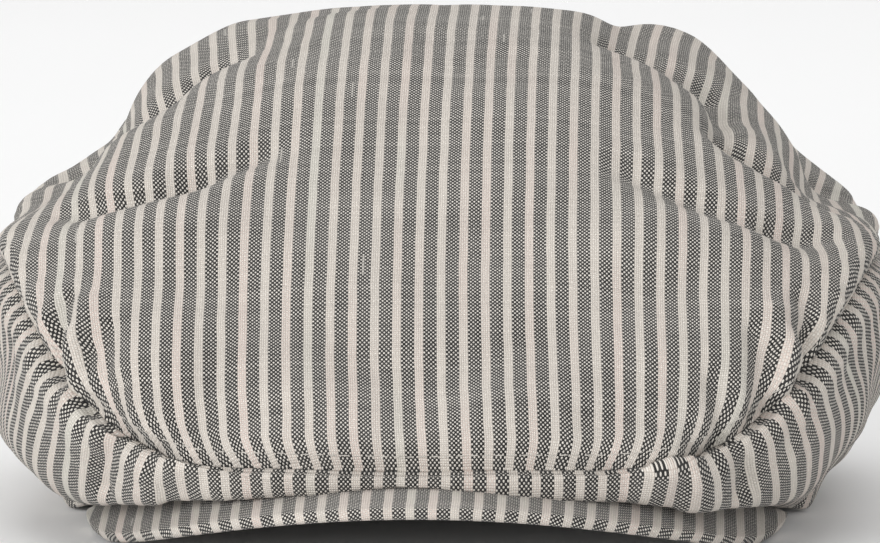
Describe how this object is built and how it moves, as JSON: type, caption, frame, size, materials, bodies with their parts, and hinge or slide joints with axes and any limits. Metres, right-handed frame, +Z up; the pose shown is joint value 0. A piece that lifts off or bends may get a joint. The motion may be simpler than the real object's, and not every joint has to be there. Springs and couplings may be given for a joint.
{
  "type": "flat cap",
  "caption": "Flat cap of striped plain-weave cloth: a puffed top panel that slopes to the front, a side band that folds under at the hem, and a short arched peak.",
  "frame": {"origin": "on the surface the cap rests on, under the centre of its bounding box", "axes": "+Z up, the peak points to -Y, +X is the right side as seen from the front"},
  "size_m": [0.223, 0.259, 0.1195],
  "materials": {
    "striped_cloth": "matte plain weave, cream stripes between charcoal and cream ones",
    "peak_cloth": "the same striped cloth stretched over a stiff board"
  },
  "bodies": {
    "root": {"top_panel": "striped_cloth", "side_band": "striped_cloth", "peak": "peak_cloth"}
  },
  "joints": []
}
